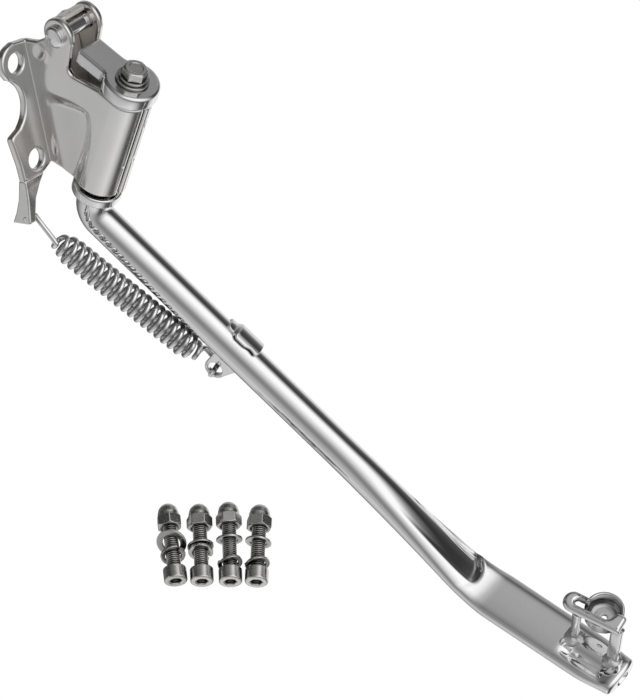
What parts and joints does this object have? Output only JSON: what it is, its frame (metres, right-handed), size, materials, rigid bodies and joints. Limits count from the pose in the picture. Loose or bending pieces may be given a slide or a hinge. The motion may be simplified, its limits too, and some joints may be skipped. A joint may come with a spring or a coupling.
{
  "type": "motorcycle kickstand",
  "caption": "Side stand with a wrapped-barrel frame bracket, bent tube leg flattened into a foot paddle, return spring, stop arm and loose mounting hardware.",
  "frame": {"origin": "midway between the front mounting flange's two screw holes, on the flange's front face", "axes": "+Z is the upward normal of the flat foot paddle, +X runs from the pivot towards the foot, and +Y completes the frame, away from the loose hardware"},
  "size_m": [0.4397, 0.1739, 0.2432],
  "materials": {
    "bracket_chrome": "bright chrome over pressed steel, slightly soft",
    "leg_chrome": "mirror chrome",
    "arm_chrome": "chrome over a flat ground face",
    "spring_chrome": "bright chrome wire",
    "fastener_steel": "satin plated steel",
    "plain_steel": "machined and greased",
    "bush_bronze": "sintered bronze"
  },
  "bodies": {
    "bracket": {"bracket_front_half": "bracket_chrome", "bracket_rear_half": "bracket_chrome", "bracket_back_web": "bracket_chrome", "spring_hanger": "bracket_chrome", "stop_pin": "leg_chrome", "barrel_sleeve": "plain_steel", "lower_bush": "bush_bronze", "upper_bush": "bush_bronze", "mounting_cap_screws": "fastener_steel", "mounting_acorn_nuts": "fastener_steel", "mounting_lock_washers": "fastener_steel", "mounting_flat_washers": "fastener_steel"},
    "lift_washer": {"thrust_washer": "plain_steel"},
    "leg": {"leg_collar": "leg_chrome", "leg_spindle": "plain_steel", "leg_stop_arm": "arm_chrome", "arm_flat_washer": "fastener_steel", "arm_lock_washer": "fastener_steel", "arm_hex_screw": "fastener_steel", "leg_tube": "leg_chrome", "bumper_saddle": "leg_chrome", "spring_lug": "leg_chrome", "foot_loop_inner_post": "leg_chrome", "foot_loop_outer_post": "leg_chrome", "foot_loop_bar": "leg_chrome", "foot_loop_cup": "leg_chrome", "foot_loop_welds": "leg_chrome"},
    "spring": {"return_spring": "spring_chrome"}
  },
  "joints": [
    {"name": "leg_lift", "type": "slide", "parent": "bracket", "child": "lift_washer", "axis": [0, 0.3584, 0.9336], "range_m": [0, 0.0025]},
    {"name": "leg_swing", "type": "hinge", "parent": "lift_washer", "child": "leg", "pos_m": [0.04649, 0.0055, -0.03423], "axis": [0, 0.3584, 0.9336], "range_deg": [0, 100]},
    {"name": "spring_turn", "type": "hinge", "parent": "bracket", "child": "spring", "pos_m": [0.02736, -0.03325, -0.04207], "axis": [0, 0.3584, 0.9336], "range_deg": [0, 72.75], "deforming": ["return_spring"]}
  ],
  "couplings": [
    {"joint": "spring_turn", "follows": "leg_swing", "ratio": 0.72246}
  ]
}
